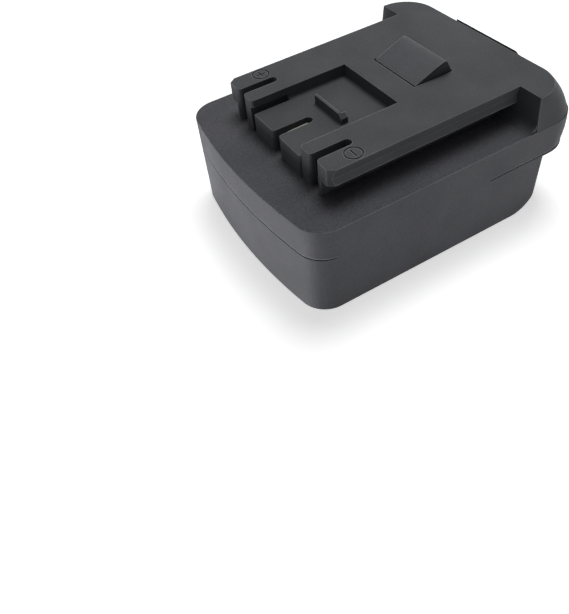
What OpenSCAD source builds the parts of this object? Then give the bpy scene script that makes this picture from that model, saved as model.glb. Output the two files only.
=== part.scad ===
// Tool battery adapter: a slide-on case with deck rails, a sprung latch, contact clips and a battery bay.
// X runs along the slide, front (bowed end) at -X, release button at +X. Z is up, tool side on top.

/* [Body] */
// Overall length along the slide, mm
body_length = 103; // [101:0.5:107]
// Overall width, mm
body_width = 78; // [77:0.5:81]
// Radius of the bowed front end in plan, mm
bow_radius = 192; // [150:5:260]
// Plan radius of the front corners, mm
corner_radius = 9; // [8:0.25:11]
// Plan radius of the flange corners at the rear, mm
rear_corner = 11.5; // [10:0.25:12.5]
// Thickness of the shell walls, mm
wall = 2.2; // [1.8:0.1:2.4]

/* [Heights] */
// Height of the ledge under the flange, mm
ledge_z = 19.7; // [19.2:0.1:20.2]
// Height of the seam between the shells, mm
seam_z = 21.6; // [21.2:0.1:22.2]
// Height of the plate on top of the upper shell, mm
plate_z = 31.8; // [31.4:0.1:32.6]
// Height of the deck, mm
deck_z = 42.8; // [42.4:0.1:44]

/* [Battery bay] */
// Distance from the front end to the bay's front wall, mm
bay_setback = 23; // [22:0.25:24]
// Height of the bay floor above the rim, mm
bay_depth = 11.1; // [10.6:0.1:11.4]
// Width of the rim on each side, from the long side to the lip's edge, mm
rim_border = 12.6; // [12.4:0.1:13]
// Thickness of the lips, mm
lip_thickness = 3.8; // [3.4:0.1:4.2]
// Depth of the side channels behind the lips, mm
channel_depth = 4; // [3.6:0.1:4]
// Depth of the shallow step around the lips, mm
step_depth = 0.8; // [0.5:0.1:1]
// Width of the cross slot for a pack's latch, mm
catch_width = 7.4; // [7:0.1:7.8]
// Length of the cross slot, mm
catch_length = 34.8; // [33:0.2:36]

/* [Deck] */
// Distance from the front end to the tongue fronts, mm
tongue_setback = 15; // [14:0.25:16]
// Width over the rails, mm
rail_width = 58.8; // [58:0.2:60]
// Width of the stem under the rails, mm
stem_width = 49; // [48.6:0.1:49.6]
// Height of the rail heads, mm
rail_height = 5.5; // [5:0.1:5.8]
// Width of the contact slots, mm
slot_width = 3; // [2.9:0.05:3.1]
// Distance of the outer contact slots from the middle, mm
slot_pitch = 20.8; // [20.7:0.05:20.9]
// Length of the contact slots, mm
slot_length = 13; // [12.6:0.1:13.6]
// Width of the sunken pocket, mm
pocket_width = 28; // [27.4:0.1:28.4]
// Depth of the sunken pocket, mm
pocket_depth = 3.8; // [3.4:0.1:4]
// Length of the deck between the sunken pocket and the latch tooth, mm
pocket_bridge = 9.35; // [8.8:0.05:9.8]

/* [Latch] */
// Width of the latch tooth, mm
tooth_width = 20.2; // [19:0.2:21]
// Length of the latch tooth, mm
tooth_length = 14; // [13.4:0.1:14.4]
// Height of the tooth ridge above the deck, mm
tooth_rise = 4; // [3.6:0.1:4.1]
// Width of the release button, mm
button_width = 28; // [26:0.5:29]
// Running gap around the moving pieces, mm
run_gap = 0.35; // [0.3:0.05:0.4]
// Gap between the latch and its upper stop, mm
stop_gap = 0.15; // [0.1:0.05:0.2]
// Wire thickness of the latch springs, mm
spring_wire = 0.7; // [0.6:0.05:0.8]
// Turns of the latch springs
spring_turns = 6; // [5:0.5:7]

/* [Contacts] */
// Distance between the battery-side blades, mm
blade_pitch = 25.4; // [25:0.1:25.8]
// Length of the blades, mm
blade_length = 23.2; // [22:0.2:24]
// Thickness of the blades, mm
blade_thickness = 1; // [0.8:0.05:1.1]
// Height of the blade tips above the rim, mm
blade_tip = 1.9; // [1.5:0.1:2.4]
// Radius of the insulated leads, mm
lead_radius = 1.1; // [0.9:0.05:1.15]

/* [Screws] */
// Radius of the screw counterbores, mm
counterbore_radius = 3.1; // [2.9:0.05:3.2]
// Radius of the screw shanks, mm
shank_radius = 1.45; // [1.3:0.05:1.5]
// Radius of the screw heads, mm
head_radius = 2.6; // [2.4:0.05:2.7]
// Height of the screw heads, mm
head_height = 2.2; // [2:0.1:2.4]
// Height of the head seats in the rim, mm
rim_seat = 3.6; // [3.2:0.1:4.2]

/* [Hidden] */
fine = 64;
x_front = -body_length / 2;
x_rear = body_length / 2;
half_w = body_width / 2;

// lower shell
lower_rear = x_rear - 13.8;
lower_round = 9.5;
bay_x = x_front + bay_setback;
floor_t = 2.1;
floor_top = bay_depth + floor_t;
lip_half = half_w - rim_border;
lip_z = step_depth + lip_thickness;
channel_half = lip_half + channel_depth;
channel_z = bay_depth + 2.4;
channel_top = channel_z + 2.1;
plateau_half = lip_half - 0.5;
plateau_end = x_rear - 17.65;
step_half = lip_half + 7.1;
catch_x = x_rear - 26.8;
well_top = seam_z - 1.6;
bar_z = bay_depth + 3.5;
ledge_rear = x_rear - 0.65;
ledge_round = 1.4;
beam_fillet = 3;
parting = 0.6;
tight_x = [x_front + 10.5, x_rear - 36.8];

// screw places
front_screw = [x_front + 8.7, half_w - 7.1];
middle_screw = [x_front + 51, half_w - 4.2];
ledge_screw = [x_rear - 9.6, 27];
boss_r = 3.85;
clear_r = shank_radius + 0.2;
pilot_r = shank_radius + 0.05;
ledge_seat = seam_z + 2;
ledge_boss_top = ledge_seat + 2;
rim_bite = 6.6;
ledge_screw_length = 6.2;

// upper shell
plate_low = plate_z - wall;
spring_at = [x_rear - 22, 11];
cup_r = 4;
cup_floor = plate_z - 6.8;

// deck
tongue_x = x_front + tongue_setback;
rail_half = rail_width / 2;
stem_half = stem_width / 2;
rail_z = deck_z - rail_height;
deck_low = deck_z - 2.4;
slot_in = slot_pitch - slot_width / 2;
slot_out = slot_pitch + slot_width / 2;
slot_mid_x = tongue_x + slot_length - slot_width / 2;
pocket_half = pocket_width / 2;
pocket_z = deck_z - pocket_depth;
tooth_x = x_rear - 44.25;
pocket_rear = tooth_x - pocket_bridge;
side_slot = [pocket_half - 1.2, pocket_half + 1.2];
rib_x = tongue_x + 18.1;
rib_top = deck_z - 0.9;
flange_x = x_rear - 20.45;
deck_rear = x_rear - 8.45;
ramp_run = 3.4;
ramp_rise = 3.3;
cavity_half = slot_out;
deck_screw_x = [tongue_x + 28, x_rear - 25];
deck_screw_y = [slot_pitch - 1.6, slot_pitch - 0.3];
deck_pilot_r = 1.35;
deck_shank_r = 1.3;
deck_head_r = 2.4;
small_head_h = 1.8;
deck_screw_length = 7.4;
mark_r = 2.9;
mark_at = [tongue_x + 10.15, (slot_out + rail_half) / 2 + 0.1];

// latch
tooth_end = tooth_x + tooth_length;
tooth_half = tooth_width / 2;
tooth_gap = 0.6;
latch_top = deck_low - stop_gap;
latch_low = latch_top - 3.45;
latch_half = 15.2;
latch_arm_end = x_rear - 4.5;
arm_top = latch_low + 1.8;
button_half = button_width / 2;
button_x = [x_rear - 7.4, x_rear - 3.5];
spring_r = 3.05;
spring_height = latch_low - cup_floor;

// contacts
blade_x = [bay_x + 6, bay_x + 6 + blade_length];
blade_y = blade_pitch / 2;
carrier_low = floor_top;
carrier_top = carrier_low + 4;
carrier_x = [blade_x[0] - 3.5, blade_x[1] + 3.5];
carrier_screw = [blade_x[0] + 8.5, 20.3];
tab_x = [blade_x[0] + 14, blade_x[0] + 18];
tab_z = carrier_top + 3.8;
clip_x = [tongue_x + 2.6, slot_mid_x - 0.5];
clip_base = plate_z + 2.6;
clip_top = deck_z - 3.4;
signal_top = pocket_z - 1.6;
tail_x = [slot_mid_x - 2.5, slot_mid_x + 2];
tail_z = plate_low - 2.6;
tail_t = 0.8;
lead_x = slot_mid_x + 1;
strip_x = [bay_x + 7.6, bay_x + 45.9];
strip_t = 0.9;

// distance from the tooth's rear end with the share of its rise: a swelling front and a rounded ridge
tooth_line = [[1.75, 0.82], [2, 0.91], [2.35, 0.975], [2.8, 1], [3.3, 0.99], [4, 0.955], [5, 0.875], [7, 0.69]];
// fractions of the flange height with the rear edge's setback from the rear end
flare_up = [[0, 8.45], [0.11, 7.3], [0.21, 6.3], [0.33, 5.15], [0.436, 4.2], [0.573, 3.15], [0.709, 2.25],
            [0.855, 1.4], [1, 0.75]];
flare_down = [[0, 0.75], [0.25, 0.24], [0.52, 0], [0.78, 0.16], [1, 0.55]];
flare_inside = [[0.22, 8], [0.445, 5.75], [0.68, 3.7], [1.1, 1.7]];

module slab(z0, z1) {
  translate([0, 0, z0]) linear_extrude(z1 - z0) children();
}

// extrudes an XZ drawing along Y, from y0 to y1
module prism_y(y0, y1) {
  translate([0, y1, 0]) rotate([90, 0, 0]) linear_extrude(y1 - y0) children();
}

// extrudes a YZ drawing along X, from x0 to x1
module prism_x(x0, x1) {
  translate([x0, 0, 0]) rotate([90, 0, 90]) linear_extrude(x1 - x0) children();
}

module block(low, high) {
  translate(low) cube(high - low);
}

module post(at, r, z0, z1) {
  translate([at[0], at[1], z0]) cylinder(r = r, h = z1 - z0, $fn = fine);
}

module both_sides() {
  children();
  mirror([0, 1, 0]) children();
}

// plan of the case: bowed front, rounded front corners, straight sides, rear corners of radius rr
module body_plan(inset, rear, rr) {
  r = corner_radius - inset;
  big = bow_radius - inset;
  hw = half_w - inset;
  cy = hw - r;
  bx = x_front + bow_radius;
  cx = bx - sqrt((big - r) * (big - r) - cy * cy);
  ty = cy + r * cy / (big - r);
  translate([cx, -hw]) square([rear - rr - cx, 2 * hw]);
  translate([cx, -hw + rr]) square([rear - cx, 2 * (hw - rr)]);
  intersection() {
    translate([bx, 0]) circle(big, $fn = 360);
    translate([x_front - 1, -ty]) square([cx - x_front + 2, 2 * ty]);
  }
  for (s = [-1, 1]) {
    translate([cx, s * cy]) circle(r, $fn = fine);
    translate([rear - rr, s * (hw - rr)]) circle(rr, $fn = fine);
  }
}

// plan of the flange: straight front at x0, rounded rear corners
module flange_plan(x0, rear, hw, r) {
  translate([x0, -hw]) square([rear - r - x0, 2 * hw]);
  translate([x0, -hw + r]) square([rear - x0, 2 * (hw - r)]);
  intersection() {
    for (s = [-1, 1]) translate([rear - r, s * (hw - r)]) circle(r, $fn = fine);
    translate([x0, -hw]) square([rear - x0, 2 * hw]);
  }
}

// a stack of flange plans joined into one flared solid between the heights za and zb
module flare(table, za, zb, x0, inset, ha, hb) {
  skin = 0.02;
  hull()
    for (row = table) {
      z = za + (zb - za) * row[0];
      t = row[0];
      translate([0, 0, min(z, max(za, zb) - skin)])
        linear_extrude(skin)
          flange_plan(x0, x_rear - row[1] - inset, ha + (hb - ha) * t - inset,
                      rear_corner + 0.7 * t - inset / 2);
    }
}

module ledge_plan(inset) {
  flange_plan(plateau_end - 6, ledge_rear - inset, half_w - inset, rear_corner - inset);
}

module rim_screw_places() {
  for (s = [-1, 1]) {
    translate([front_screw[0], s * front_screw[1], 0]) children();
    translate([middle_screw[0], s * middle_screw[1], 0]) children();
  }
}

module ledge_screw_places() {
  for (s = [-1, 1]) translate([ledge_screw[0], s * ledge_screw[1], 0]) children();
}

module deck_screw_places() {
  for (s = [-1, 1])
    for (i = [0, 1])
      translate([deck_screw_x[i], s * deck_screw_y[i], 0]) children();
}

// a pan-head screw with a six-sided socket; the head sits below z = 0 and the shank points up
module screw(r, head_r, head_h, length) {
  difference() {
    union() {
      cylinder(r = r, h = length, $fn = fine);
      translate([0, 0, -head_h * 0.6]) cylinder(r = head_r, h = head_h * 0.6, $fn = fine);
      translate([0, 0, -head_h]) cylinder(r1 = head_r * 0.72, r2 = head_r, h = head_h * 0.4, $fn = fine);
    }
    translate([0, 0, -head_h - 1]) cylinder(r = head_r * 0.45, h = 1 + head_h * 0.6, $fn = 6);
  }
}

// case halves

module lower_body() {
  intersection() {
    union() {
      slab(0, seam_z - 0.4) body_plan(0, lower_rear, 1.6);
      slab(seam_z - 0.5, seam_z) {
        body_plan(parting, lower_rear, 1.6);
        translate([tight_x[0], -half_w]) square([tight_x[1] - tight_x[0], 2 * half_w]);
      }
    }
    prism_y(-half_w - 1, half_w + 1) {
      translate([x_front - 1, 0]) square([lower_rear - lower_round - x_front + 1, seam_z]);
      translate([x_front - 1, lower_round]) square([lower_rear - x_front + 1, seam_z - lower_round]);
      translate([lower_rear - lower_round, lower_round]) circle(lower_round, $fn = fine);
    }
  }
  // ledge with a rounded lower rim
  hull() {
    slab(ledge_z, ledge_z + 0.02) ledge_plan(ledge_round);
    slab(ledge_z + 0.4, ledge_z + 0.42) ledge_plan(ledge_round * 0.4);
    slab(ledge_z + 1.1, seam_z - 0.4) ledge_plan(0);
  }
  slab(seam_z - 0.5, seam_z) ledge_plan(parting);
  // hollow fillets where the side beams meet the ledge
  both_sides()
    prism_y(lip_half + 0.5, half_w - 1.8)
      difference() {
        translate([lower_rear - 0.5, ledge_z - beam_fillet]) square([beam_fillet + 0.5, beam_fillet + 0.3]);
        translate([lower_rear + beam_fillet + 0.1, ledge_z - beam_fillet - 0.1])
          circle(beam_fillet + 0.1, $fn = fine);
      }
}

module lower_hollow() {
  // front box
  intersection() {
    slab(wall, seam_z + 1) body_plan(wall, lower_rear - wall, 1);
    block([x_front, -half_w, wall], [bay_x - wall, half_w, seam_z + 1]);
  }
  // room above the channels, over the floor, in the side beams and above the ledge
  slab(channel_top, seam_z + 1) body_plan(wall, plateau_end - wall, 1);
  block([bay_x - wall - 1, 2 * wall - lip_half, floor_top],
        [plateau_end - wall, lip_half - 2 * wall, seam_z]);
  both_sides()
    block([bay_x - wall - 1, channel_half + 1.6, wall + step_depth],
          [lower_rear - wall - 6, half_w - wall, seam_z]);
}

module bay_space() {
  far = x_rear + 5;
  // space between the lips
  block([bay_x, -lip_half, -1], [far, lip_half, bay_depth]);
  // side channels
  both_sides() block([bay_x, plateau_half, lip_z], [lower_rear + 1, channel_half, channel_z]);
  // shallow step around the lips
  block([bay_x - 0.4, -step_half, -1], [far, step_half, step_depth]);
  // space behind the end of the floor, with a rounded floor edge
  block([plateau_end, -lip_half, -1], [far, lip_half, ledge_z]);
  prism_y(-plateau_half - 1, plateau_half + 1)
    difference() {
      translate([plateau_end - 2, bay_depth - 1]) square([3, 3]);
      translate([plateau_end - 2, bay_depth + 2]) circle(2, $fn = fine);
      translate([plateau_end - 3, bay_depth]) square([1, 3]);
    }
}

module lower_shell() {
  color([0.2, 0.2, 0.21])
    difference() {
      union() {
        difference() {
          lower_body();
          lower_hollow();
          bay_space();
        }
        rim_screw_places() cylinder(r = boss_r, h = seam_z, $fn = fine);
        ledge_screw_places()
          translate([0, 0, ledge_z]) cylinder(r = boss_r, h = ledge_boss_top - ledge_z, $fn = fine);
        // well around the cross slot
        block([catch_x - catch_width / 2 - 1.8, -catch_length / 2 - 1.8, floor_top - 0.5],
              [catch_x + catch_width / 2 + 1.8, catch_length / 2 + 1.8, well_top]);
        // bosses under the blade carrier
        for (s = [-1, 1]) post([carrier_screw[0], s * carrier_screw[1]], 3, floor_top - 0.5, carrier_top);
        // low pad on the bay floor
        block([blade_x[0], lip_half - 8.8, bay_depth - 0.35],
              [blade_x[0] + 40, plateau_half, bay_depth + 0.5]);
      }
      // screw holes
      rim_screw_places() {
        translate([0, 0, -1]) cylinder(r = counterbore_radius, h = rim_seat + 1, $fn = fine);
        cylinder(r = clear_r, h = seam_z + 1, $fn = fine);
      }
      ledge_screw_places() {
        translate([0, 0, ledge_z - 1])
          cylinder(r = counterbore_radius, h = ledge_seat - ledge_z + 1, $fn = fine);
        translate([0, 0, ledge_z]) cylinder(r = clear_r, h = 10, $fn = fine);
      }
      for (s = [-1, 1])
        post([carrier_screw[0], s * carrier_screw[1]], 1.25, floor_top + 0.3, carrier_top + 1);
      // cross slot with a bar inside
      difference() {
        block([catch_x - catch_width / 2, -catch_length / 2, bay_depth - 1],
              [catch_x + catch_width / 2, catch_length / 2, well_top - 1.6]);
        block([catch_x - 1, -catch_length, bar_z], [catch_x + 2.6, catch_length, well_top]);
      }
      // blade slots
      both_sides()
        block([blade_x[0] - 0.3, blade_y - blade_thickness / 2 - 0.3, bay_depth - 1],
              [blade_x[1] + 0.3, blade_y + blade_thickness / 2 + 0.3, floor_top + 0.1]);
    }
}

module upper_shell() {
  color([0.21, 0.21, 0.22])
    difference() {
      union() {
        difference() {
          union() {
            slab(seam_z, plate_z) body_plan(0, flange_x + 1.5, 1);
            flare(flare_down, plate_z, seam_z, flange_x - 10.5, 0, half_w, half_w);
          }
          slab(seam_z - 1, plate_low) body_plan(wall, flange_x - 0.5, 1);
          slab(seam_z - 1, plate_low)
            flange_plan(flange_x - 20.5, x_rear - 2 - wall, half_w - wall, rear_corner - wall);
        }
        rim_screw_places()
          translate([0, 0, seam_z]) cylinder(r = boss_r, h = plate_z - seam_z - 1, $fn = fine);
        ledge_screw_places()
          translate([0, 0, ledge_boss_top])
            cylinder(r = boss_r, h = plate_z - ledge_boss_top - 1, $fn = fine);
        for (s = [-1, 1]) post([spring_at[0], s * spring_at[1]], cup_r + 1.2, cup_floor - 1.6, plate_z - 1);
      }
      rim_screw_places() translate([0, 0, seam_z - 1]) cylinder(r = pilot_r, h = 8.4, $fn = fine);
      ledge_screw_places() translate([0, 0, ledge_boss_top - 1]) cylinder(r = pilot_r, h = 6, $fn = fine);
      for (s = [-1, 1]) post([spring_at[0], s * spring_at[1]], cup_r, cup_floor, plate_z + 1);
      deck_screw_places()
        translate([0, 0, plate_low - 1]) cylinder(r = deck_shank_r + 0.2, h = 4, $fn = fine);
      // openings for the clip tails
      for (c = [-slot_pitch, 0, slot_pitch])
        block([tail_x[0] - 0.4, c - 0.9, plate_low - 1], [tail_x[1] + 0.4, c + 0.9, plate_z + 1]);
    }
}

// rails, deck and flange

module tongue_plans() {
  for (s = [0, 1]) mirror([0, s, 0]) {
    // outer tongue with a chamfered rail corner
    translate([tongue_x + 1.5, slot_out + 1.5]) circle(1.5, $fn = fine);
    polygon([[tongue_x + 1.5, slot_out], [tongue_x + 8, slot_out], [tongue_x + 8, rail_half],
             [tongue_x + 2.2, rail_half], [tongue_x, rail_half - 1.7], [tongue_x, slot_out + 1.5],
             [tongue_x + 1.5, slot_out + 1.5]]);
    // tongue between pocket and outer slot
    rounded_front(pocket_half, slot_in);
  }
}

module rounded_front(y0, y1) {
  r = 1.2;
  for (y = [y0 + r, y1 - r]) translate([tongue_x + r, y]) circle(r, $fn = fine);
  translate([tongue_x + r, y0]) square([8, y1 - y0]);
  translate([tongue_x, y0 + r]) square([8, y1 - y0 - 2 * r]);
}

module rail_section() {
  polygon([[-stem_half, plate_z], [stem_half, plate_z], [stem_half, rail_z], [rail_half - 0.2, rail_z],
           [rail_half - 0.8, deck_z - 3.2], [rail_half, deck_z], [-rail_half, deck_z],
           [-rail_half + 0.8, deck_z - 3.2], [-rail_half + 0.2, rail_z], [-stem_half, rail_z]]);
}

module deck_body() {
  intersection() {
    union() {
      slab(plate_z, deck_z) {
        tongue_plans();
        translate([tongue_x + 6, -rail_half]) square([flange_x + 1 - tongue_x - 6, 2 * rail_half]);
      }
      slab(plate_z, pocket_z) both_fronts();
    }
    prism_x(tongue_x - 1, flange_x + 2) rail_section();
  }
  flare(flare_up, deck_z, plate_z, flange_x, 0, half_w - 1.2, half_w);
  // hollow fillets where the plate meets the flange
  both_sides()
    prism_y(stem_half - 0.5, half_w - 0.35)
      polygon(concat(
        [[flange_x + 0.4, plate_z]],
        [for (a = [0 : 9 : 90])
          [flange_x - ramp_run * (1 - sin(a)), plate_z + ramp_rise * (1 - cos(a))]],
        [[flange_x + 0.4, plate_z + ramp_rise]]));
}

module both_fronts() {
  rounded_front(slot_width / 2, pocket_half);
  mirror([0, 1]) rounded_front(slot_width / 2, pocket_half);
}

module deck_hollow() {
  // under the pocket, beside it and behind it
  block([tongue_x + 2, -cavity_half, plate_z - 1], [pocket_rear + 3, cavity_half, pocket_z - wall]);
  both_sides()
    block([tongue_x + 2, pocket_half + wall, plate_z - 1], [pocket_rear + 3, cavity_half, deck_low]);
  block([pocket_rear + wall, -cavity_half, plate_z - 1], [deck_rear - 4, cavity_half, deck_low]);
  // inside of the flange
  flare(flare_inside, deck_z, plate_z, flange_x + wall, 1.2, half_w - 2.4, half_w - 1.2);
}

module contact_slot(c, z1) {
  slab(plate_z - 1, z1) {
    translate([tongue_x - 1, c - slot_width / 2]) square([slot_mid_x - tongue_x + 1, slot_width]);
    translate([slot_mid_x, c]) circle(slot_width / 2, $fn = fine);
  }
}

module polarity_mark(plus) {
  translate([mark_at[0], 0, deck_z - 0.35]) {
    difference() {
      cylinder(r = mark_r, h = 1, $fn = fine);
      translate([0, 0, -1]) cylinder(r = mark_r - 0.5, h = 3, $fn = fine);
    }
    translate([-0.25, -1.6, 0]) cube([0.5, 3.2, 1]);
    if (plus) translate([-1.6, -0.25, 0]) cube([3.2, 0.5, 1]);
  }
}

module rail_deck() {
  color([0.19, 0.19, 0.2]) {
    difference() {
      union() {
        difference() {
          deck_body();
          deck_hollow();
        }
        deck_screw_places()
          translate([0, 0, plate_z]) cylinder(r = 3, h = deck_low - plate_z + 0.5, $fn = fine);
      }
      deck_screw_places() translate([0, 0, plate_z - 1]) cylinder(r = deck_pilot_r, h = 7, $fn = fine);
      // sunken pocket with a side slot that runs under its left wall
      block([tongue_x - 1, -pocket_half, pocket_z], [pocket_rear, pocket_half, deck_z + 1]);
      block([tongue_x - 1, side_slot[0], plate_z - 1],
            [slot_mid_x + slot_width / 2, side_slot[1], deck_low]);
      // contact slots
      for (c = [-slot_pitch, slot_pitch]) contact_slot(c, deck_z + 1);
      contact_slot(0, pocket_z + 1);
      // latch window
      block([tooth_x - tooth_gap, -tooth_half - run_gap, deck_low - 1],
            [tooth_end + run_gap, tooth_half + run_gap, deck_z + 1]);
      // button window
      block([button_x[0] - run_gap, -button_half - run_gap, plate_z - 1],
            [button_x[1] + run_gap, button_half + run_gap, deck_z + 1]);
      translate([0, mark_at[1], 0]) polarity_mark(true);
      translate([0, -mark_at[1], 0]) polarity_mark(false);
    }
    // rib on the pocket floor, with a hook whose top falls away at its near end
    block([rib_x, -6.7, pocket_z - 0.5], [rib_x + 0.9, 6.4, rib_top]);
    prism_x(rib_x, rib_x + 2.4)
      polygon([[-6.6, pocket_z - 0.5], [-6.6, rib_top], [-8.3, rib_top - 1.2], [-8.3, pocket_z - 0.5]]);
  }
}

// contacts

module blade(s) {
  prism_y(s * blade_y - blade_thickness / 2, s * blade_y + blade_thickness / 2) {
    translate([blade_x[0], blade_tip + 0.6]) square([blade_length, carrier_top - blade_tip - 0.6]);
    translate([blade_x[0] + 0.6, blade_tip]) square([blade_length - 2.4, 3]);
    translate([blade_x[0] + 0.6, blade_tip + 0.6]) circle(0.6, $fn = fine);
    translate([blade_x[1] - 1.8, blade_tip + 1.8]) circle(1.8, $fn = fine);
    translate([tab_x[0], carrier_top - 1]) square([tab_x[1] - tab_x[0], tab_z - carrier_top + 1]);
  }
}

module blade_trimmed(s) {
  difference() {
    blade(s);
    prism_y(s * blade_y - blade_thickness, s * blade_y + blade_thickness)
      difference() {
        translate([blade_x[1] - 1.8, blade_tip - 1]) square([3, 2.8]);
        translate([blade_x[1] - 1.8, blade_tip + 1.8]) circle(1.8, $fn = fine);
      }
  }
}

module positive_blade() {
  color([0.8, 0.8, 0.78]) blade_trimmed(1);
}

module negative_blade() {
  color([0.8, 0.8, 0.78]) blade_trimmed(-1);
}

module blade_carrier() {
  color([0.3, 0.3, 0.32])
    difference() {
      union() {
        block([carrier_x[0], -blade_y - 4, carrier_low], [carrier_x[1], blade_y + 4, carrier_top]);
        block([carrier_screw[0] - 3.2, -carrier_screw[1] - 3, carrier_top - 0.01],
              [carrier_screw[0] + 3.2, carrier_screw[1] + 3, carrier_top + 2]);
      }
      both_sides()
        block([blade_x[0], blade_y - blade_thickness / 2, carrier_low - 1],
              [blade_x[1], blade_y + blade_thickness / 2, carrier_top + 3]);
      for (s = [-1, 1])
        post([carrier_screw[0], s * carrier_screw[1]], 1.45, carrier_top - 1, carrier_top + 3);
    }
}

module clip(c, top) {
  for (s = [-1, 1])
    block([clip_x[0], c + s * 1 - 0.4, clip_base], [clip_x[1], c + s * 1 + 0.4, top]);
  block([clip_x[0] + 2, c - 1.4, clip_base], [tail_x[1], c + 1.4, clip_base + 0.8]);
  block([tail_x[0], c - tail_t / 2, tail_z], [tail_x[1], c + tail_t / 2, clip_base + 0.4]);
}

module positive_clip() {
  color([0.8, 0.72, 0.5]) clip(slot_pitch, clip_top);
}

module negative_clip() {
  color([0.8, 0.72, 0.5]) clip(-slot_pitch, clip_top);
}

module signal_clip() {
  color([0.8, 0.72, 0.5]) clip(0, signal_top);
}

module clip_carrier() {
  color([0.3, 0.3, 0.32])
    difference() {
      block([tongue_x + 2.2, 0.2 - cavity_half, plate_z], [tail_x[1] + 3, cavity_half - 0.2, clip_base]);
      for (c = [-slot_pitch, 0, slot_pitch])
        block([tail_x[0], c - tail_t / 2, plate_z - 1], [tail_x[1], c + tail_t / 2, clip_base + 1]);
    }
}

// a round wire along a list of points
module wire(points, r) {
  for (i = [0 : len(points) - 2]) {
    d = points[i + 1] - points[i];
    len_d = norm(d);
    translate(points[i])
      rotate([0, acos(d[2] / len_d), atan2(d[1], d[0])])
        cylinder(r = r, h = len_d, $fn = 32);
    if (i > 0) translate(points[i]) sphere(r = r + 0.06, $fn = 32);
  }
}

module lead() {
  tab_y = blade_y + blade_thickness / 2 + lead_radius;
  end_y = slot_pitch - tail_t / 2 - lead_radius;
  wire([[(tab_x[0] + tab_x[1]) / 2, tab_y, carrier_top + 0.4],
        [(tab_x[0] + tab_x[1]) / 2, tab_y, seam_z + 2.6],
        [lead_x, end_y, seam_z + 3.6],
        [lead_x, end_y, plate_low - 0.4]], lead_radius);
}

module positive_lead() {
  color([0.7, 0.12, 0.1]) lead();
}

module negative_lead() {
  color([0.1, 0.1, 0.11]) mirror([0, 1, 0]) lead();
}

module signal_resistor() {
  x = tail_x[0] + 0.7;
  z = tail_z + 0.9;
  reach = slot_pitch - tail_t;
  color([0.65, 0.55, 0.4])
    translate([x, -tail_t / 2, z])
      rotate([90, 0, 0]) {
        cylinder(r = 0.35, h = reach, $fn = 24);
        translate([0, 0, reach / 2 - 3.2]) cylinder(r = 1.2, h = 6.4, $fn = 32);
      }
}

// wavy strip on the outer wall of a side channel: two bumps towards the bay
function strip_y(u) = strip_t + 2.4 * pow(sin(360 * u), 2);
module wave_strip() {
  n = 48;
  run = strip_x[1] - strip_x[0];
  slab(lip_z + 0.7, lip_z + 3.9)
    polygon(concat(
      [for (i = [0 : n]) [strip_x[0] + run * i / n, channel_half - strip_y(i / n)]],
      [for (i = [n : -1 : 0]) [strip_x[0] + run * i / n, channel_half - strip_y(i / n) + strip_t]]));
}

module wave_strip_left() {
  color([0.25, 0.25, 0.26]) wave_strip();
}

module wave_strip_right() {
  color([0.25, 0.25, 0.26]) mirror([0, 1, 0]) wave_strip();
}

// screws

module case_screws() {
  color([0.62, 0.62, 0.63])
    rim_screw_places()
      translate([0, 0, rim_seat]) screw(shank_radius, head_radius, head_height, seam_z + rim_bite - rim_seat);
}

module ledge_screws() {
  color([0.62, 0.62, 0.63])
    ledge_screw_places()
      translate([0, 0, ledge_seat]) screw(shank_radius, head_radius, head_height, ledge_screw_length);
}

module deck_screws() {
  color([0.62, 0.62, 0.63])
    deck_screw_places()
      translate([0, 0, plate_low]) screw(deck_shank_r, deck_head_r, small_head_h, deck_screw_length);
}

module carrier_screws() {
  color([0.62, 0.62, 0.63])
    for (s = [-1, 1])
      translate([carrier_screw[0], s * carrier_screw[1], carrier_top + 2])
        rotate([180, 0, 0]) screw(1.2, 2.3, 1.8, 5.4);
}

// latch

// a coil: the polygon is the cut through a round wire, seen along the coil's axis
module latch_spring(s) {
  pitch = spring_height / spring_turns;
  rw = spring_wire / 2;
  span = 0.98 * 360 * rw / pitch;
  n = 8;
  turn = [for (i = [0 : n]) span * (2 * i / n - 1)];
  width = [for (a = turn) sqrt(rw * rw - pow(pitch * a / 360, 2))];
  translate([spring_at[0], s * spring_at[1], cup_floor])
    linear_extrude(spring_height, twist = -360 * spring_turns, slices = ceil(spring_turns * 20))
      polygon(concat(
        [for (i = [0 : n]) (spring_r + width[i]) * [cos(turn[i]), sin(turn[i])]],
        [for (i = [n : -1 : 0]) (spring_r - width[i]) * [cos(turn[i]), sin(turn[i])]]));
}

module latch_spring_left() {
  color([0.7, 0.7, 0.72]) latch_spring(1);
}

module latch_spring_right() {
  color([0.7, 0.7, 0.72]) latch_spring(-1);
}

module latch_slider() {
  color([0.17, 0.17, 0.18]) {
    // tooth with a rising front and a steep back
    prism_y(-tooth_half, tooth_half)
      polygon(concat(
        [[tooth_x, latch_low], [tooth_end, latch_low], [tooth_end, deck_z + 0.1]],
        [for (row = tooth_line) [tooth_end - row[0], deck_z + tooth_rise * row[1]]],
        [[tooth_x, deck_z - 0.15]]));
    // shoulder plate
    block([tooth_x - 3.2, -latch_half, latch_low], [button_x[0] - 4, latch_half, latch_top]);
    // arm under the button
    block([button_x[0] - 5, 0.4 - button_half, latch_low], [latch_arm_end, button_half - 0.4, arm_top]);
    // spring pins
    for (s = [-1, 1])
      post([spring_at[0], s * spring_at[1]], spring_r - spring_wire - 0.1, latch_low - 2, latch_low + 1);
  }
}

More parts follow.
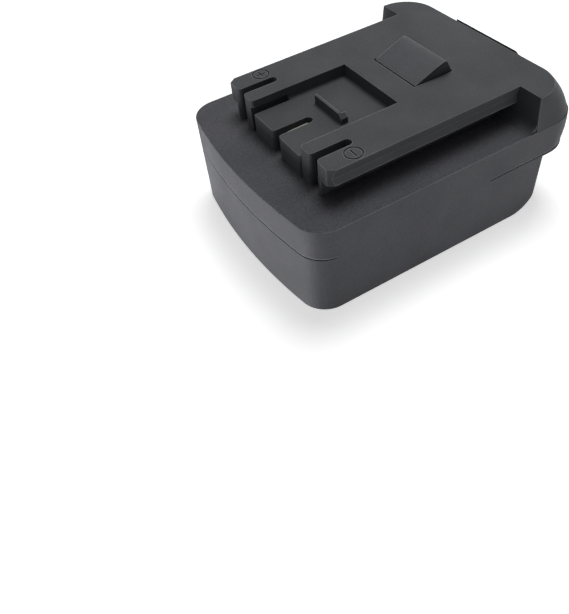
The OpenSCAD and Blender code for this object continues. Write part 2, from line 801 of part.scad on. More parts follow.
module release_button() {
  color([0.16, 0.16, 0.17])
    difference() {
      prism_y(-button_half, button_half)
        polygon([[button_x[0], arm_top], [latch_arm_end, arm_top], [latch_arm_end, latch_low],
                 [button_x[1], latch_low], [button_x[1], deck_z - 4.6], [button_x[1] - 0.4, deck_z - 4.1],
                 [button_x[0], deck_z - 0.1]]);
      // grip grooves
      for (i = [1 : 3])
        translate([button_x[0] + i * 0.9, 0, deck_z + 0.05 - i * 1.03])
          rotate([90, 0, 0]) cylinder(r = 0.3, h = button_width - 6, center = true, $fn = 24);
    }
}

lower_shell();
upper_shell();
rail_deck();
blade_carrier();
positive_blade();
negative_blade();
clip_carrier();
positive_clip();
negative_clip();
signal_clip();
positive_lead();
negative_lead();
signal_resistor();
wave_strip_left();
wave_strip_right();
case_screws();
ledge_screws();
deck_screws();
carrier_screws();
latch_spring_left();
latch_spring_right();
latch_slider();
release_button();
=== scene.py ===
import math

import bpy
import numpy as np
from mathutils import Matrix, Vector


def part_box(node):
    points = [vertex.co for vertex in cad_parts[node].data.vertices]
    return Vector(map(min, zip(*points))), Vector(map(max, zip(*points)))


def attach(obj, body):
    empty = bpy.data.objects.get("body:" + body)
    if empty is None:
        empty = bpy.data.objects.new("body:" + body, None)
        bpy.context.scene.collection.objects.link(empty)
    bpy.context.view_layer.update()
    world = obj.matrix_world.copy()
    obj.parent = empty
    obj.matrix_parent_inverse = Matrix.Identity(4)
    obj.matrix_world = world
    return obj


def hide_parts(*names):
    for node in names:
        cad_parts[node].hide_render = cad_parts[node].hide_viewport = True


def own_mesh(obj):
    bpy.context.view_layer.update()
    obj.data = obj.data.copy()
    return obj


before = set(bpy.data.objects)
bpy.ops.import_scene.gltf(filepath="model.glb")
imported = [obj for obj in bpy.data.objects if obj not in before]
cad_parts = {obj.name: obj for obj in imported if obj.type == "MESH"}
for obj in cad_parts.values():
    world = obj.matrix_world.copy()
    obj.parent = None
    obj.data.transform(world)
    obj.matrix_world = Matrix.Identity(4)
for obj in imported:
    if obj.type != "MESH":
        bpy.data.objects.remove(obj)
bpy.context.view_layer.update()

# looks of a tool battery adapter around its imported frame: moulded case halves, rail deck, sprung latch,
# contact blades and clips, leads, strips, screws and springs, in metres in the CAD frame

bl_info = {
    "name": "Tool battery adapter",
    "version": (1, 0, 0),
    "blender": (4, 5, 0),
    "location": "3D View > Sidebar > Adapter",
    "description": "Builds the moulded case, contacts, springs and screws of a slide-on battery adapter",
    "category": "Object",
}

MM = 0.001

# like screws by node, in mm: places in X and Y, each with a twin at -Y, height of the seats, radius and
# height of the head, radius of the shank, length, length of the thread, and whether the heads are on top
SCREWS = {
    "case_screws": {"pairs": [(-42.8, 31.9), (-0.5, 34.8)], "seat": 3.6, "head": (2.6, 2.2),
                    "shank": 1.45, "length": 24.6, "thread": 9.0, "head_up": False},
    "ledge_screws": {"pairs": [(41.9, 27.0)], "seat": 23.6, "head": (2.6, 2.2),
                     "shank": 1.45, "length": 6.2, "thread": 5.2, "head_up": False},
    "deck_screws": {"pairs": [(-8.5, 19.2), (26.5, 20.5)], "seat": 29.6, "head": (2.4, 1.8),
                    "shank": 1.3, "length": 7.4, "thread": 6.4, "head_up": False},
    "carrier_screws": {"pairs": [(-14.0, 20.3)], "seat": 19.2, "head": (2.3, 1.8),
                       "shank": 1.2, "length": 5.4, "thread": 4.4, "head_up": True},
}

# lines where a piece meets its neighbour flush, in mm: height, two ends along X, and half the height of the
# dark line that shows there. The case halves meet along the long sides, and the deck on the plate
CASE_JOINTS = [(21.6, -40.8, 14.5, 0.0), (31.8, 31.2, 60.0, 0.1)]
DECK_JOINTS = [(31.8, -60.0, 31.2, 0.0), (31.8, 31.2, 60.0, 0.14)]

# small sizes in mm. The two ends of a blade's solder tab are taken from the blade's front
TAB_FROM, TAB_TO, TAB_HEIGHT = 14.0, 18.0, 3.8
BLADE_CORNER, BLADE_NOSE = 0.6, 1.8
CLIP_TAIL, TINE_THICK, TINE_SHORT, SHEET_CORNER = 4.5, 0.44, 1.6, 0.12
LEAD_RADIUS, LEAD_TURN_LOW, LEAD_TURN_HIGH = 1.1, 24.2, 25.2
LEAD_BARE_LOW, LEAD_BARE_HIGH, SOLDER_LOW, SOLDER_HIGH = 1.6, 1.4, 2.2, 2.0
RESISTOR_HALF = 3.2
STRIP_THICK, STRIP_RISE, STRIP_CORNER = 0.9, 2.4, 0.18
# the spring's turns, all and those closed at each end, are counts
SPRING_WIRE, SPRING_TURNS, SPRING_CLOSED = 0.35, 7.5, 0.9
# the screws' sides round are a count, and each is turned from the one before by an angle in radians
THREAD_DEPTH, THREAD_POINT, SCREW_SIDES, SCREW_TURN = 0.26, 1.4, 48, 0.37

# colours that no setting holds
CARRIER_GREY = (0.085, 0.085, 0.092)
TINNED = (0.62, 0.61, 0.6)
TAN, BROWN, BLACK = (0.52, 0.38, 0.22, 1), (0.09, 0.03, 0.012, 1), (0.01, 0.01, 0.01, 1)
ORANGE, GOLD = (0.72, 0.2, 0.02, 1), (0.5, 0.33, 0.08, 1)
# where each colour of the resistor starts, as a share of its body
BANDS = [(0.0, TAN), (0.18, BROWN), (0.25, TAN), (0.35, BLACK), (0.42, TAN), (0.52, ORANGE), (0.59, TAN),
         (0.76, GOLD), (0.83, TAN)]
WHITE = (1.0, 1.0, 1.0, 1.0)

# soft lamps in metres: place, aim and size, with their power in the settings. The floor holds back no lamp
# light, so the low ones light the sides
LAMPS = {
    "side_lamp": ((-0.42, 0.05, -0.22), (-0.04, 0.0, 0.02), 0.3),
    "front_lamp": ((0.05, -0.45, -0.06), (0.0, -0.03, 0.03), 0.2),
    "top_lamp": ((0.17, 0.17, 0.69), (0.0, 0.0, 0.03), 0.36),
    "under_lamp": ((-0.05, 0.12, -0.55), (0.0, 0.0, 0.01), 0.6),
}
# the floor in metres: half its width, its height, and the two distances between which it fades to white
FLOOR_REACH, FLOOR_Z, FLOOR_FADE = 3.0, -0.0001, (0.12, 0.4)

# the camera: its place in metres, its direction and the direction of the picture's right
EYE = (-0.110038, -0.147075, 0.152139)
AHEAD = (0.27606, 0.5881, -0.76022)
RIGHT = (0.85487, -0.51175, -0.08546)


# settings


class CaseSettings(bpy.types.PropertyGroup):
    """Finish of the moulded case, deck and latch"""

    case_colour: bpy.props.FloatVectorProperty(
        name="Case colour", description="Colour of the two case halves", subtype="COLOR", size=3,
        min=0, max=1, default=(0.066, 0.067, 0.077))
    deck_colour: bpy.props.FloatVectorProperty(
        name="Deck colour", description="Colour of the rail deck and its flange", subtype="COLOR", size=3,
        min=0, max=1, default=(0.0600, 0.0622, 0.0682))
    latch_colour: bpy.props.FloatVectorProperty(
        name="Latch colour", description="Colour of the latch tooth and the release button", subtype="COLOR",
        size=3, min=0, max=1, default=(0.0720, 0.0743, 0.0826))
    # the strips' grey is partly their own plastic and partly painted light: lighter than the case so that
    # they show in the dim side channels
    strip_colour_and_light: bpy.props.FloatVectorProperty(
        name="Strip colour", description="Colour of the wavy strips in the bay", subtype="COLOR", size=3,
        min=0, max=1, default=(0.22, 0.22, 0.225))
    grain: bpy.props.FloatProperty(
        name="Grain", description="Size of the spark texture's craters", unit="LENGTH", precision=5,
        min=0.0001, max=0.002, default=0.0004)
    edge_round: bpy.props.FloatProperty(
        name="Edge rounding", description="Radius of the moulded edges", unit="LENGTH", precision=5,
        min=0.00005, max=0.001, default=0.0005)


class MetalSettings(bpy.types.PropertyGroup):
    """Finish and small shapes of the contacts, screws and springs"""

    plate_colour: bpy.props.FloatVectorProperty(
        name="Blade plating", description="Colour of the nickel plating on the blades", subtype="COLOR",
        size=3, min=0, max=1, default=(0.78, 0.765, 0.73))
    # the clips' plating is darker than the blades': partly a duller plating, partly painted shade of the
    # slots they sit in
    clip_colour_and_shade: bpy.props.FloatVectorProperty(
        name="Clip plating", description="Colour of the dull plating on the clips", subtype="COLOR", size=3,
        min=0, max=1, default=(0.40, 0.385, 0.35))
    screw_colour: bpy.props.FloatVectorProperty(
        name="Screw finish", description="Colour of the blackened screws", subtype="COLOR", size=3,
        min=0, max=1, default=(0.10, 0.10, 0.105))
    spring_colour: bpy.props.FloatVectorProperty(
        name="Spring wire", description="Colour of the drawn spring wire", subtype="COLOR", size=3,
        min=0, max=1, default=(0.55, 0.55, 0.56))
    blade_edge: bpy.props.FloatProperty(
        name="Blade edge", description="Rounding of the blades' edges", unit="LENGTH", precision=5,
        min=0.00005, max=0.0004, default=0.00022)
    thread_pitch: bpy.props.FloatProperty(
        name="Thread pitch", description="Pitch of the screw threads", unit="LENGTH", precision=5,
        min=0.0006, max=0.002, default=0.0012)


class WireSettings(bpy.types.PropertyGroup):
    """Insulation and bend of the leads"""

    positive_colour: bpy.props.FloatVectorProperty(
        name="Positive lead", description="Colour of the positive lead's insulation", subtype="COLOR",
        size=3, min=0, max=1, default=(0.42, 0.025, 0.02))
    negative_colour: bpy.props.FloatVectorProperty(
        name="Negative lead", description="Colour of the negative lead's insulation", subtype="COLOR",
        size=3, min=0, max=1, default=(0.02, 0.02, 0.022))
    bend: bpy.props.FloatProperty(
        name="Bend", description="Radius at which the leads turn", unit="LENGTH", precision=4,
        min=0.001, max=0.006, default=0.0025)


class StageSettings(bpy.types.PropertyGroup):
    """Floor, lamps and camera"""

    floor_colour: bpy.props.FloatVectorProperty(
        name="Floor", description="Colour of the floor", subtype="COLOR", size=3, min=0, max=1,
        default=(0.93, 0.93, 0.93))
    sky: bpy.props.FloatProperty(
        name="Sky", description="Strength of the even light from all sides", min=0, max=2, default=0.10)
    side_lamp: bpy.props.FloatProperty(
        name="Side lamp", description="Power of the low soft lamp beside the bowed end", unit="POWER",
        min=0, max=50, default=1.95)
    top_lamp: bpy.props.FloatProperty(
        name="Top lamp", description="Power of the soft lamp above and behind", unit="POWER",
        min=0, max=50, default=3.0)
    front_lamp: bpy.props.FloatProperty(
        name="Front lamp", description="Power of the low soft lamp beside the long side", unit="POWER",
        min=0, max=50, default=0.38)
    floor_glow: bpy.props.FloatProperty(
        name="Floor glow", description="What is added to the floor's shade where it is seen",
        min=0, max=1, default=0.6)
    under_lamp: bpy.props.FloatProperty(
        name="Under lamp", description="Power of the soft lamp under the floor, for views of the bay",
        unit="POWER", min=0, max=50, default=2.4)
    focal: bpy.props.FloatProperty(
        name="Focal length", description="Focal length on a 36 mm frame", subtype="DISTANCE_CAMERA",
        unit="CAMERA", min=10, max=200, default=37.977)


# meshes


def closed_shell(rows):
    """Points and faces of a closed skin: rows of points round a piece, one row after another.
    Face (i, j) joins points j and j + 1 of rows i and i + 1, each row closes on itself, and a fan to the
    middle of the first and of the last row closes the ends. The volume's sign turns the faces outwards."""
    n, m, _ = rows.shape
    points = np.vstack([rows.reshape(-1, 3), rows[0].mean(0), rows[-1].mean(0)])
    at = np.arange(n * m).reshape(n, m)
    near, far = at, np.roll(at, -1, axis=1)
    quads = np.stack([near[:-1], far[:-1], far[1:], near[1:]], axis=-1).reshape(-1, 4)
    start = np.stack([far[0], near[0], np.full(m, n * m)], axis=-1)
    end = np.stack([near[-1], far[-1], np.full(m, n * m + 1)], axis=-1)
    tris = np.vstack([quads[:, [0, 1, 2]], quads[:, [0, 2, 3]], start, end])
    a, b, c = points[tris[:, 0]], points[tris[:, 1]], points[tris[:, 2]]
    if np.einsum("ij,ij->", a, np.cross(b, c)) < 0:
        quads, start, end = quads[:, ::-1], start[:, ::-1], end[:, ::-1]
    return points, quads.tolist() + start.tolist() + end.tolist()


def piece(name, shells, body, nodes, materials, picks=None):
    """One named piece from closed shells, each with its place in its points. picks gives each shell's
    material."""
    points, faces, paint, base = [], [], [], 0
    for k, (co, loops) in enumerate(shells):
        points.append(co)
        faces += [[v + base for v in loop] for loop in loops]
        paint += [picks[k] if picks else 0] * len(loops)
        base += len(co)
    mesh = bpy.data.meshes.new(name)
    mesh.from_pydata(np.vstack(points).tolist(), [], faces)
    mesh.polygons.foreach_set("material_index", paint)
    mesh.shade_smooth()
    mesh.set_sharp_from_angle(angle=math.radians(35))
    for material in materials:
        mesh.materials.append(material)
    made = bpy.data.objects.new(name, mesh)
    bpy.context.scene.collection.objects.link(made)
    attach(made, body)
    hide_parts(*nodes)
    return made


def dress(nodes, material):
    """Gives CAD nodes that keep their shape a material."""
    for name in nodes:
        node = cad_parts[name]
        if not node.material_slots:
            node.data.materials.append(material)
        for place in node.material_slots:
            place.material = material


def ring(radius, count):
    """A circle as across and up values: radius times the cosine and sine of count even angles."""
    turn = np.linspace(0, 2 * math.pi, count, endpoint=False)
    return radius * np.stack([np.cos(turn), np.sin(turn)], axis=-1)


def rounded_bar(width, height, r, count=5):
    """Outline of a rectangle about the origin with quarter-round corners of radius r."""
    turn = np.linspace(0, math.pi / 2, count)
    quarter = r * np.stack([np.cos(turn), np.sin(turn)], axis=-1)
    parts = []
    for k, (sx, sy) in enumerate(((1, 1), (-1, 1), (-1, -1), (1, -1))):
        c, s = round(math.cos(k * math.pi / 2)), round(math.sin(k * math.pi / 2))
        parts.append(quarter @ np.array([[c, s], [-s, c]]) + [sx * (width / 2 - r), sy * (height / 2 - r)])
    return np.vstack(parts)


def swept(path, across, up, outline):
    """A closed outline carried along a path: point (i, j) = path i + outline j across + outline j up."""
    return path[:, None] + outline[..., :1] * across[:, None] + outline[..., 1:] * up[:, None]


def turned(path, radii, across, up, count):
    """A round body along a straight path: a circle across and up, of the radius that each point has."""
    rows = len(path)
    outline = ring(1.0, count)[None] * radii[:, None, None]
    return closed_shell(swept(path, np.tile(across, (rows, 1)), np.tile(up, (rows, 1)), outline))


def unit(v):
    """Each row of v at length one."""
    return v / np.linalg.norm(v, axis=-1, keepdims=True)


def round_path(corners, bend, count=14):
    """A line through corners with each inner corner replaced by a quadratic curve that starts and ends at the
    distance bend from it: (1-t)^2 a + 2 t (1-t) corner + t^2 b."""
    corners = np.asarray(corners, float)
    t = np.linspace(0, 1, count)[:, None]
    parts = [corners[:1]]
    for before, corner, after in zip(corners[:-2], corners[1:-1], corners[2:]):
        a = corner + unit(before - corner) * min(bend, 0.48 * np.linalg.norm(before - corner))
        b = corner + unit(after - corner) * min(bend, 0.48 * np.linalg.norm(after - corner))
        parts.append((1 - t) ** 2 * a + 2 * t * (1 - t) * corner + t ** 2 * b)
    return np.vstack(parts + [corners[-1:]])


def wire_frame(path, hint):
    """Across and up directions along a path: across is hint with its part along the path taken away."""
    along = unit(np.gradient(path, axis=0))
    hint = np.broadcast_to(np.asarray(hint, float), along.shape)
    across = unit(hint - along * np.sum(hint * along, axis=1, keepdims=True))
    return across, np.cross(along, across)


# materials


def node_adder(tree):
    """A short helper that adds a node to a tree with its settings, and sets its inputs or joins them."""

    def add(kind, inputs=None, **settings):
        node = tree.nodes.new("ShaderNode" + kind)
        for key, value in settings.items():
            setattr(node, key, value)
        for key, value in (inputs or {}).items():
            if isinstance(value, bpy.types.NodeSocket):
                tree.links.new(value, node.inputs[key])
            else:
                node.inputs[key].default_value = value
        return node

    return add


def finish_tree(name):
    """A new node material with its Principled shader, and short helpers to add nodes and join them to it."""
    material = bpy.data.materials.new(name)
    material.use_nodes = True
    tree = material.node_tree
    shader = tree.nodes["Principled BSDF"]

    def to_shader(key, socket):
        tree.links.new(socket, shader.inputs[key])

    return material, shader, node_adder(tree), to_shader


def seen_rays(add):
    """1 for rays that show a thing to the camera, straight, in gloss or through glass, and 0 for the rest."""
    rays = add("LightPath").outputs
    seen = add("Math", {0: rays["Is Camera Ray"], 1: rays["Is Glossy Ray"]}, operation="MAXIMUM").outputs[0]
    return add("Math", {0: seen, 1: rays["Is Transmission Ray"]}, operation="MAXIMUM").outputs[0]


def shades(colour, low, high):
    """Two shades of a colour, darker and lighter, for a colour ramp or mix."""
    return [(*(c * k for c in colour), 1.0) for k in (low, high)]


def moulded_plastic(name, colour, grain, relief, speck, rough, edge_round, joints=()):
    """Spark-textured moulded plastic: craters (Voronoi) and fine noise give relief and speckle, slow noise
    gives patches of gloss, and edges are rounded in the shading. Edges that stand free get a lighter base
    colour and
    lower roughness: partly rubbing wear, partly a painted highlight of the light a rounded edge catches. At
    joints
    an edge is shut against a neighbour: it is neither rounded nor lightened, and may have a dark line."""
    material, shader, add, to_shader = finish_tree(name)
    place = add("TexCoord").outputs["Object"]
    fine = add("TexNoise", {"Vector": place, "Scale": 1 / grain, "Detail": 3.0,
                            "Roughness": 0.62}).outputs["Fac"]
    pits = add("TexVoronoi", {"Vector": place, "Scale": 0.8 / grain}, feature="SMOOTH_F1").outputs["Distance"]
    slow = add("TexNoise", {"Vector": place, "Scale": 55.0, "Detail": 4.0, "Roughness": 0.55}).outputs["Fac"]
    height = add("Math", {0: fine, 1: pits}, operation="ADD").outputs[0]
    radius, shadow = edge_round, 1.0
    at = add("SeparateXYZ", {"Vector": place}).outputs
    for z, x0, x1, line in joints:
        near = add("Math", {0: at["Z"], 1: z * MM, 2: 1.4 * edge_round}, operation="COMPARE").outputs[0]
        between = add("Math", {0: at["X"], 1: (x0 + x1) / 2 * MM, 2: (x1 - x0) / 2 * MM},
                      operation="COMPARE").outputs[0]
        shut = add("Math", {0: near, 1: between}, operation="MULTIPLY").outputs[0]
        radius = add("MapRange", {"Value": shut, "To Min": radius, "To Max": 0.0}).outputs["Result"]
        if line:
            close = add("Math", {0: at["Z"], 1: z * MM, 2: line * MM}, operation="COMPARE").outputs[0]
            inside = add("Math", {0: close, 1: between}, operation="MULTIPLY").outputs[0]
            shadow = add("MapRange", {"Value": inside, "To Min": shadow, "To Max": 0.3}).outputs["Result"]
    soft = add("Bevel", {"Radius": radius}, samples=6).outputs["Normal"]
    flat = add("NewGeometry").outputs["Normal"]
    up = add("SeparateXYZ", {"Vector": flat}).outputs["Z"]
    level = add("Math", {0: up}, operation="ABSOLUTE").outputs[0]
    lying = add("MapRange", {"Value": level, "From Min": 0.55, "From Max": 0.95,
                             "To Min": 0.35}).outputs["Result"]
    strength = add("Math", {0: lying, 1: relief}, operation="MULTIPLY").outputs[0]
    bump = add("Bump", {"Strength": strength, "Distance": 0.0002, "Height": height, "Normal": soft})
    to_shader("Normal", bump.outputs["Normal"])

    dark, light = shades(colour, 1 - speck, 1 + 1.3 * speck)
    centred = add("MapRange", {"Value": height, "From Min": 0.55, "From Max": 1.35,
                               "To Min": -0.5, "To Max": 0.5}).outputs["Result"]
    spread = add("Math", {0: centred, 1: lying}, operation="MULTIPLY").outputs[0]
    speckle = add("Math", {0: spread, 1: 0.5}, operation="ADD").outputs[0]
    body = add("Mix", {"Factor": speckle, "A": dark, "B": light}, data_type="RGBA").outputs["Result"]
    patch = add("MapRange", {"Value": slow, "From Min": 0.3, "From Max": 0.7,
                             "To Min": 0.90, "To Max": 1.08}).outputs["Result"]
    shade = add("Math", {0: patch, 1: shadow}, operation="MULTIPLY").outputs[0]
    toned = add("VectorMath", {0: body, 1: shade}, operation="MULTIPLY").outputs["Vector"]
    facing = add("VectorMath", {0: soft, 1: flat}, operation="DOT_PRODUCT").outputs["Value"]
    edge = add("MapRange", {"Value": facing, "From Min": 0.995, "From Max": 0.9,
                            "To Max": 2.0}).outputs["Result"]
    open_air = add("AmbientOcclusion", {"Distance": 2 * edge_round}, samples=4).outputs["AO"]
    free = add("MapRange", {"Value": open_air, "From Min": 0.8, "From Max": 0.98}).outputs["Result"]
    free_edge = add("Math", {0: edge, 1: free}, operation="MULTIPLY").outputs[0]
    rub_and_highlight = add("Math", {0: free_edge, 1: slow}, operation="MULTIPLY").outputs[0]
    # painted highlight: free edges are lightened towards this colour, partly as rubbing wear, partly for the
    # light a rounded edge catches
    wear_and_highlight = tuple(c * 2.8 + 0.07 for c in colour) + (1.0,)
    to_shader("Base Color", add("Mix", {"Factor": rub_and_highlight, "A": toned, "B": wear_and_highlight},
                                data_type="RGBA").outputs["Result"])

    gloss = add("MapRange", {"Value": slow, "From Min": 0.3, "From Max": 0.7,
                             "To Min": rough + 0.05, "To Max": rough - 0.05}).outputs["Result"]
    grit = add("MapRange", {"Value": fine, "From Min": 0.3, "From Max": 0.7,
                            "To Min": -0.04, "To Max": 0.04}).outputs["Result"]
    mixed = add("Math", {0: gloss, 1: grit}, operation="ADD").outputs[0]
    polish = add("MapRange", {"Value": rub_and_highlight, "To Min": 1.0, "To Max": 0.7}).outputs["Result"]
    to_shader("Roughness", add("Math", {0: mixed, 1: polish}, operation="MULTIPLY").outputs[0])
    shader.inputs["Specular IOR Level"].default_value = 0.19
    return material


def drawn_metal(name, colour, stretch, rough, relief=0.25):
    """Rolled or drawn metal: noise stretched along the rolling direction gives fine lines in relief,
    roughness and colour. stretch is the noise's scale along X, Y and Z, per metre."""
    material, shader, add, to_shader = finish_tree(name)
    place = add("TexCoord").outputs["Object"]
    drawn = add("Mapping", {"Vector": place, "Scale": stretch}).outputs["Vector"]
    lines = add("TexNoise", {"Vector": drawn, "Scale": 1.0, "Detail": 5.0, "Roughness": 0.65}).outputs["Fac"]
    stain = add("TexNoise", {"Vector": place, "Scale": 190.0, "Detail": 3.0}).outputs["Fac"]
    bump = add("Bump", {"Strength": relief, "Distance": 0.00003, "Height": lines})
    to_shader("Normal", bump.outputs["Normal"])
    dark, light = shades(colour, 0.78, 1.06)
    both = add("Math", {0: lines, 1: stain}, operation="ADD").outputs[0]
    tone = add("MapRange", {"Value": both, "From Min": 0.65, "From Max": 1.2}).outputs["Result"]
    to_shader("Base Color", add("Mix", {"Factor": tone, "A": dark, "B": light},
                                data_type="RGBA").outputs["Result"])
    to_shader("Roughness", add("MapRange", {"Value": both, "From Min": 0.6, "From Max": 1.3,
                                            "To Min": rough + 0.1, "To Max": rough - 0.07}).outputs["Result"])
    shader.inputs["Metallic"].default_value = 1.0
    return material


def filled_plastic(name, colour, rough):
    """Glass-filled plastic of the contact carriers: short bright flecks along X over a slow mottle."""
    material, _, add, to_shader = finish_tree(name)
    place = add("TexCoord").outputs["Object"]
    laid = add("Mapping", {"Vector": place, "Scale": (900.0, 4200.0, 4200.0)}).outputs["Vector"]
    fleck = add("TexNoise", {"Vector": laid, "Scale": 1.0, "Detail": 2.0}).outputs["Fac"]
    mottle = add("TexNoise", {"Vector": place, "Scale": 260.0, "Detail": 3.0}).outputs["Fac"]
    bump = add("Bump", {"Strength": 0.2, "Distance": 0.00005, "Height": fleck})
    to_shader("Normal", bump.outputs["Normal"])
    dark, light = shades(colour, 0.82, 1.25)
    tone = add("MapRange", {"Value": fleck, "From Min": 0.4, "From Max": 0.72}).outputs["Result"]
    to_shader("Base Color", add("Mix", {"Factor": tone, "A": dark, "B": light},
                                data_type="RGBA").outputs["Result"])
    gloss = add("MapRange", {"Value": mottle, "From Min": 0.3, "From Max": 0.7,
                             "To Min": rough - 0.06, "To Max": rough + 0.08})
    to_shader("Roughness", gloss.outputs["Result"])
    return material


def insulation(name, colour):
    """Extruded wire insulation: faint draw lines along Z, a slow change of shade, soft gloss."""
    material, _, add, to_shader = finish_tree(name)
    place = add("TexCoord").outputs["Object"]
    drawn = add("Mapping", {"Vector": place, "Scale": (2600.0, 2600.0, 240.0)}).outputs["Vector"]
    lines = add("TexNoise", {"Vector": drawn, "Scale": 1.0, "Detail": 3.0}).outputs["Fac"]
    slow = add("TexNoise", {"Vector": place, "Scale": 320.0, "Detail": 2.0}).outputs["Fac"]
    bump = add("Bump", {"Strength": 0.2, "Distance": 0.00004, "Height": lines})
    to_shader("Normal", bump.outputs["Normal"])
    dark, light = shades(colour, 0.8, 1.2)
    to_shader("Base Color", add("Mix", {"Factor": slow, "A": dark, "B": light},
                                data_type="RGBA").outputs["Result"])
    to_shader("Roughness", add("MapRange", {"Value": lines, "To Min": 0.3, "To Max": 0.46}).outputs["Result"])
    return material


# pieces


class ADAPTER_OT_case(bpy.types.Operator):
    """Gives the two case halves their spark-textured moulded finish"""

    bl_idname = "adapter.case"
    bl_label = "Case halves"

    def execute(self, context):
        s = context.scene.adapter_case
        dress(["lower_shell", "upper_shell"],
              moulded_plastic("case_spark_plastic", s.case_colour, s.grain, relief=0.95, speck=0.3,
                              rough=0.54, edge_round=s.edge_round, joints=CASE_JOINTS))
        return {"FINISHED"}


class ADAPTER_OT_deck(bpy.types.Operator):
    """Gives the rail deck and its flange a finer satin moulded finish"""

    bl_idname = "adapter.deck"
    bl_label = "Rail deck"

    def execute(self, context):
        s = context.scene.adapter_case
        dress(["rail_deck"],
              moulded_plastic("deck_satin_plastic", s.deck_colour, 0.7 * s.grain, relief=0.3, speck=0.18,
                              rough=0.62, edge_round=s.edge_round, joints=DECK_JOINTS))
        return {"FINISHED"}


class ADAPTER_OT_latch(bpy.types.Operator):
    """Gives the latch tooth and the release button a smooth moulded finish"""

    bl_idname = "adapter.latch"
    bl_label = "Latch and button"

    def execute(self, context):
        s = context.scene.adapter_case
        dress(["latch_slider", "release_button"],
              moulded_plastic("latch_plastic", s.latch_colour, 0.5 * s.grain, relief=0.25, speck=0.18,
                              rough=0.5, edge_round=s.edge_round))
        return {"FINISHED"}


def blade_shell(low, high, neck, edge):
    """A contact blade: an outline in X and Z carried through the blade's thickness, and drawn in by a quarter
    round of radius edge towards each face. neck gives the solder tab's two ends along X and its foot."""
    x0, x1, z0, z1 = low.x, high.x, low.z, high.z
    tab0, tab1, shoulder = neck
    quarter = np.linspace(0, math.pi / 2, 9)

    def corner(cx, cz, r, turn):
        return np.stack([cx + r * np.cos(quarter + turn), cz + r * np.sin(quarter + turn)], axis=-1)

    small, large = BLADE_CORNER * MM, BLADE_NOSE * MM
    outline = np.vstack([
        corner(x0 + small, z0 + small, small, math.pi),
        corner(x1 - large, z0 + large, large, 1.5 * math.pi),
        corner(x1 - small, shoulder - small, small, 0.0),
        [[tab1, shoulder]], corner(tab1 - small, z1 - small, small, 0.0),
        corner(tab0 + small, z1 - small, small, 0.5 * math.pi), [[tab0, shoulder]],
        corner(x0 + small, shoulder - small, small, 0.5 * math.pi)])
    ahead = unit(np.roll(outline, -1, axis=0) - np.roll(outline, 1, axis=0))
    inward = np.stack([-ahead[:, 1], ahead[:, 0]], axis=-1)
    step = np.linspace(0, math.pi / 2, 5)
    inset = edge * (1 - np.sin(step))
    depth = edge * (1 - np.cos(step))
    y = np.concatenate([low.y + depth, (high.y - depth)[::-1]])
    inset = np.concatenate([inset, inset[::-1]])
    flat = outline[None] + inset[:, None, None] * inward[None]
    y = np.broadcast_to(y[:, None], flat.shape[:2])
    return closed_shell(np.stack([flat[..., 0], y, flat[..., 1]], axis=-1))


class ADAPTER_OT_blades(bpy.types.Operator):
    """Makes the two plated blades that stand in the battery bay"""

    bl_idname = "adapter.blades"
    bl_label = "Contact blades"

    def execute(self, context):
        s = context.scene.adapter_metal
        plated = drawn_metal("blade_nickel_plate", s.plate_colour, (60.0, 2600.0, 2600.0), 0.15)
        for name in ("positive_blade", "negative_blade"):
            low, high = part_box(name)
            neck = (low.x + TAB_FROM * MM, low.x + TAB_TO * MM, high.z - TAB_HEIGHT * MM)
            shell = blade_shell(low, high, neck, s.blade_edge)
            piece(name + "_plated", [shell], "case", [name], [plated])
        return {"FINISHED"}


def clip_shells(low, high, base, tail):
    """A forked clip: two tines, a bridge and a tail. A tine is a strip along X. Its distance from the middle
    is 0.72 + 0.5 e^(-(x / 1.3)^2) + 0.24 u^2 mm, with x from its mouth and u its share of the length, so it
    flares, pinches and opens at its root. Its top falls by 0.5 e^(-(x / 1.6)^2) mm at the mouth."""
    mid = (low.y + high.y) / 2
    u = np.linspace(0, 1, 40)
    x = low.x + u * (tail[1] - TINE_SHORT * MM - low.x)
    gap = (0.72 + 0.5 * np.exp(-((x - low.x) / (1.3 * MM)) ** 2) + 0.24 * u ** 2) * MM
    top = high.z - 0.5 * MM * np.exp(-((x - low.x) / (1.6 * MM)) ** 2)
    half, r = TINE_THICK / 2 * MM, SHEET_CORNER * MM
    y = np.array([-half, half, half, half - r, r - half, -half])[None]
    foot = np.full_like(x, base)
    z = np.stack([foot, foot, top - r, top, top, top - r], axis=-1)
    along = np.broadcast_to(x[:, None], z.shape)
    shells = [closed_shell(np.stack([along, mid + side * gap[:, None] + y, z], axis=-1)) for side in (-1, 1)]
    bridge = (low.x + 2 * MM, tail[1], 2.4 * MM, base, base + 0.7 * MM)
    shank = (tail[0], tail[1], 0.8 * MM, low.z, base + 0.35 * MM)
    for x0, x1, width, z0, z1 in (bridge, shank):
        bar = rounded_bar(x1 - x0, width, r)
        z = np.array([z0, z0 + 0.1 * MM, z1 - 0.1 * MM, z1])
        draw = np.array([0.9, 1.0, 1.0, 0.9])[:, None, None]
        flat = bar[None] * draw
        rows = np.stack([(x0 + x1) / 2 + flat[..., 0], mid + flat[..., 1],
                         np.broadcast_to(z[:, None], flat.shape[:2])], axis=-1)
        shells.append(closed_shell(rows))
    return shells


